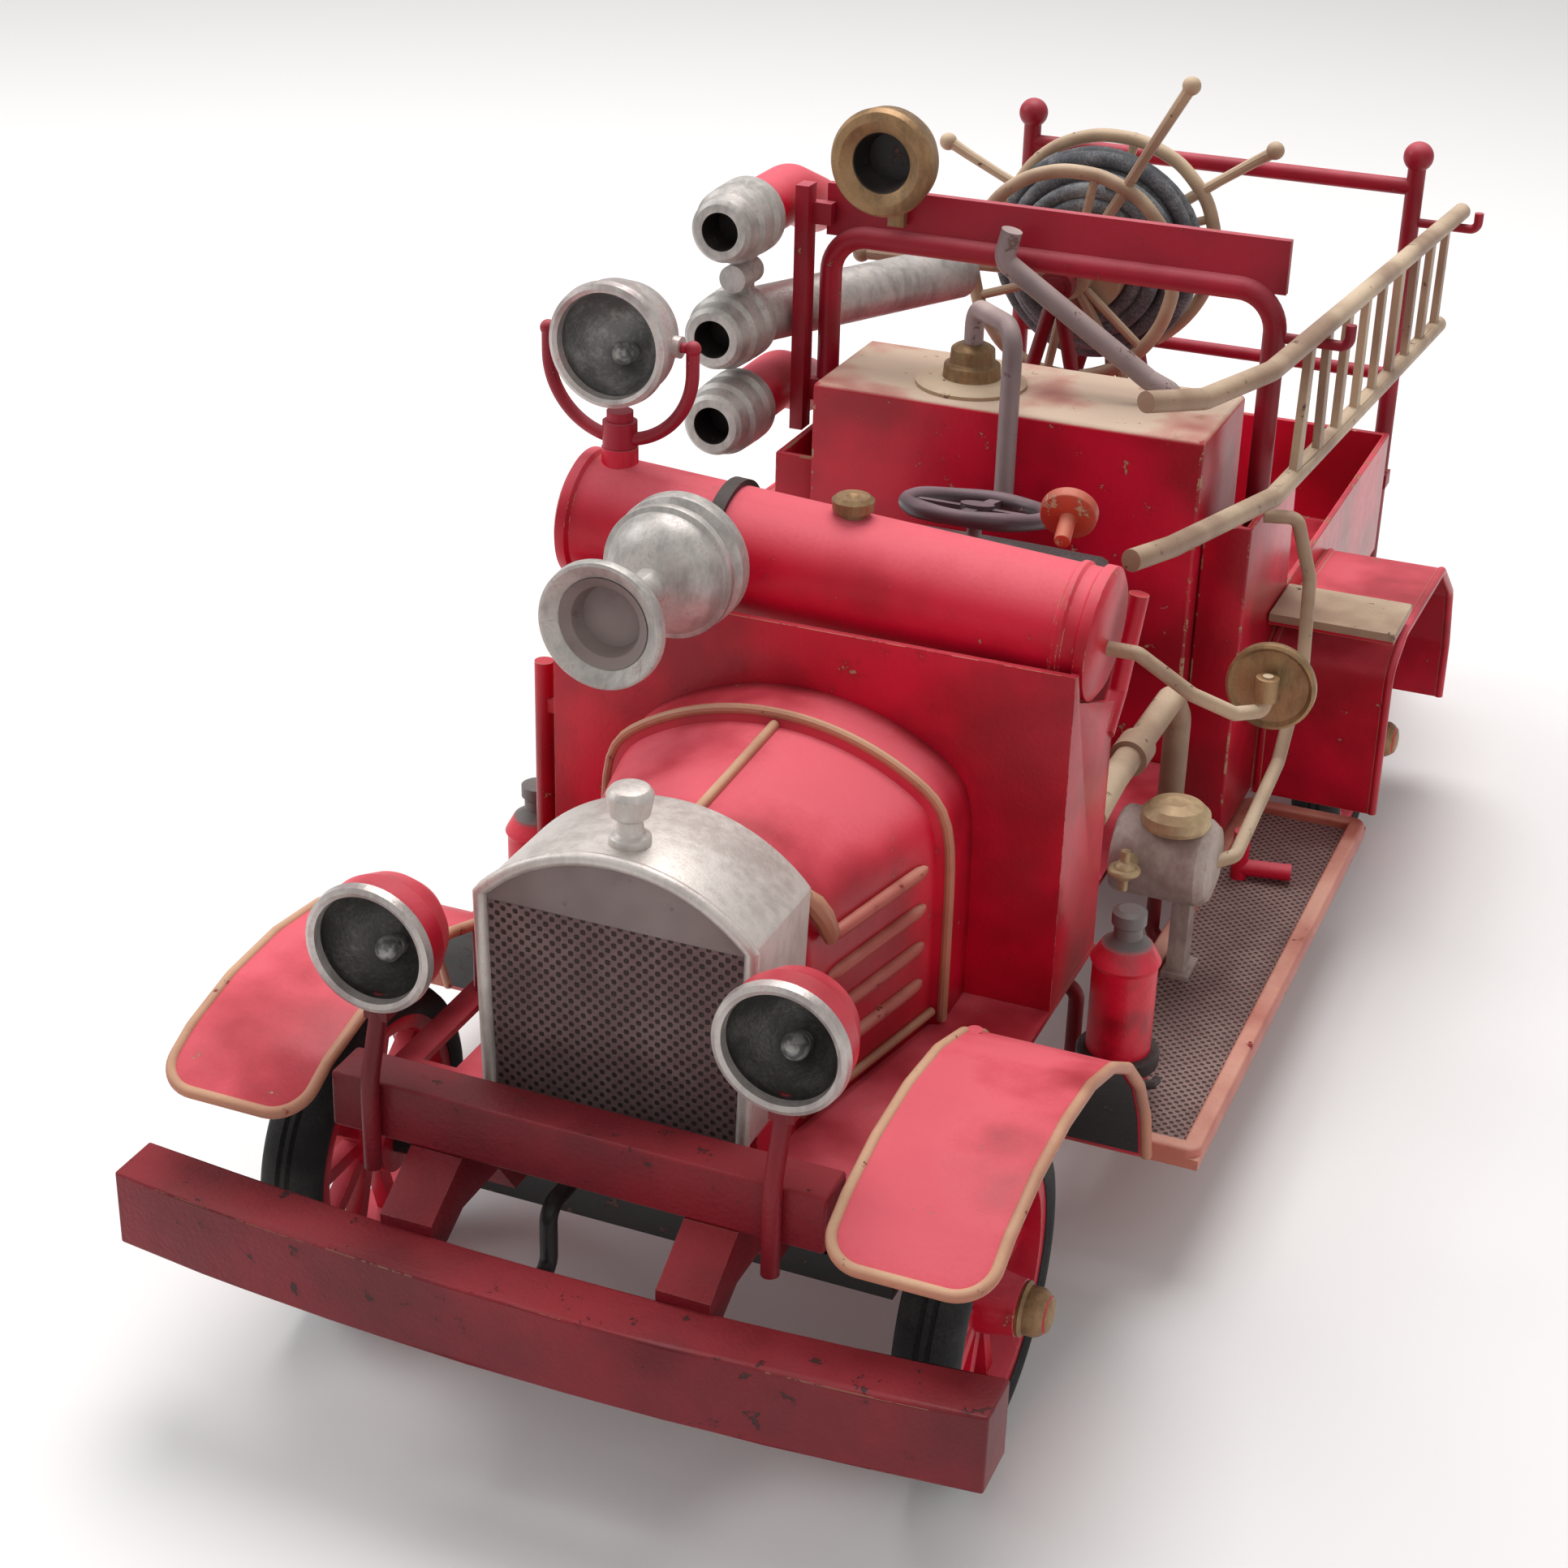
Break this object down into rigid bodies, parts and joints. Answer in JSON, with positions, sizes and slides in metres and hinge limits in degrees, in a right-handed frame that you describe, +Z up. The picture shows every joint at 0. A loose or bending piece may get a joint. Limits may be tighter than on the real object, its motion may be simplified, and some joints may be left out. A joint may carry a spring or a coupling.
{
  "type": "toy fire engine",
  "caption": "Open tin-plate toy fire engine with round-topped hood, cross tank, roll bar, hose reel, side ladder, lamps, siren and spoked wheels that turn.",
  "frame": {"origin": "on the ground, midway along and across the whole vehicle", "axes": "+Z up from the ground, +Y towards the tail along the vehicle, +X towards the driver's left"},
  "size_m": [0.1768, 0.427, 0.1882],
  "materials": {
    "red_paint": "aged satin red paint, worn to primer on edges",
    "dark_red_paint": "aged dark red paint",
    "cream_trim": "worn cream and gold edging",
    "silver": "dull aluminium paint",
    "brass": "dull aged brass",
    "mesh": "dark perforated tin",
    "black_rubber": "matt black rubber",
    "black_paint": "black paint",
    "grey_paint": "worn grey paint",
    "hose": "grey-black hose",
    "leather": "black leather cloth"
  },
  "bodies": {
    "body": {"chassis_frame": "dark_red_paint", "front_bumper": "red_paint", "front_cross_beam": "dark_red_paint", "front_axle": "black_paint", "rear_axle": "black_paint", "front_fenders": "red_paint", "front_fender_beads": "cream_trim", "running_boards": "red_paint", "rear_fenders": "red_paint", "radiator_shell": "silver", "radiator_grille": "mesh", "radiator_cap": "silver", "hood": "red_paint", "hood_trim": "cream_trim", "floor_pan": "red_paint", "dash_panel": "red_paint", "cross_tank": "red_paint", "cross_tank_cap": "brass", "siren": "silver", "headlamp_bowls": "red_paint", "headlamp_rims": "silver", "headlamp_posts": "dark_red_paint", "steering_column": "grey_paint", "dash_knob": "red_paint", "mirror_arm": "cream_trim", "seat_box": "dark_red_paint", "seat_cushion": "leather", "booster_box": "red_paint", "booster_filler": "cream_trim", "deck_pipes": "grey_paint", "rear_body": "red_paint", "roll_bar": "red_paint", "bell": "brass", "reel_stand": "dark_red_paint", "nozzles": "silver", "long_tube": "silver", "hose_ends": "dark_red_paint", "pump": "silver", "pump_fittings": "brass", "pump_pipes": "grey_paint", "extinguishers": "red_paint", "rear_handrail": "red_paint", "tail_lamp": "brass", "tailboard": "red_paint"},
    "crank": {"starting_crank": "black_paint"},
    "wheel_fl": {"wheel_front_left": "red_paint", "tyre_front_left": "black_rubber"},
    "wheel_fr": {"wheel_front_right": "red_paint", "tyre_front_right": "black_rubber"},
    "wheel_rl": {"wheel_rear_left": "red_paint", "tyre_rear_left": "black_rubber"},
    "wheel_rr": {"wheel_rear_right": "red_paint", "tyre_rear_right": "black_rubber"},
    "lamp_yoke": {"spot_yoke": "red_paint"},
    "searchlight": {"spot_lamp": "silver"},
    "steering": {"steering_wheel": "grey_paint"},
    "side_mirror": {"mirror": "brass"},
    "reel": {"hose_reel": "cream_trim", "hose_coil": "hose"},
    "ladder_set": {"ladder": "cream_trim"}
  },
  "joints": [
    {"name": "crank_turn", "type": "hinge", "parent": "body", "child": "crank", "pos_m": [-0.0107, -0.1564, 0.0445], "axis": [0, 1, 0], "range_deg": [-60, 60]},
    {"name": "front_left_wheel_spin", "type": "hinge", "parent": "body", "child": "wheel_fl", "pos_m": [0.0593, -0.1564, 0.03], "axis": [1, 0, 0], "continuous": true},
    {"name": "front_right_wheel_spin", "type": "hinge", "parent": "body", "child": "wheel_fr", "pos_m": [-0.0627, -0.1564, 0.03], "axis": [1, 0, 0], "continuous": true},
    {"name": "rear_left_wheel_spin", "type": "hinge", "parent": "body", "child": "wheel_rl", "pos_m": [0.0673, 0.1036, 0.03], "axis": [1, 0, 0], "continuous": true},
    {"name": "rear_right_wheel_spin", "type": "hinge", "parent": "body", "child": "wheel_rr", "pos_m": [-0.0707, 0.1036, 0.03], "axis": [1, 0, 0], "continuous": true},
    {"name": "yoke_swivel", "type": "hinge", "parent": "body", "child": "lamp_yoke", "pos_m": [-0.0472, -0.0774, 0.147], "axis": [0, 0, 1], "range_deg": [-80, 80]},
    {"name": "lamp_tilt", "type": "hinge", "parent": "lamp_yoke", "child": "searchlight", "pos_m": [-0.0472, -0.0774, 0.166], "axis": [1, 0, 0], "range_deg": [-30, 30]},
    {"name": "steering_turn", "type": "hinge", "parent": "body", "child": "steering", "pos_m": [0.0153, -0.0454, 0.13], "axis": [0, 0.2079, 0.9781], "range_deg": [-120, 120]},
    {"name": "mirror_swing", "type": "hinge", "parent": "body", "child": "side_mirror", "pos_m": [0.0798, -0.0624, 0.112], "axis": [0, 0, 1], "range_deg": [-20, 20]},
    {"name": "reel_spin", "type": "hinge", "parent": "body", "child": "reel", "pos_m": [-0.0157, 0.1331, 0.1335], "axis": [0, 1, 0], "continuous": true},
    {"name": "ladder_lift", "type": "slide", "parent": "body", "child": "ladder_set", "axis": [0, 0, 1], "range_m": [0, 0.018]}
  ]
}
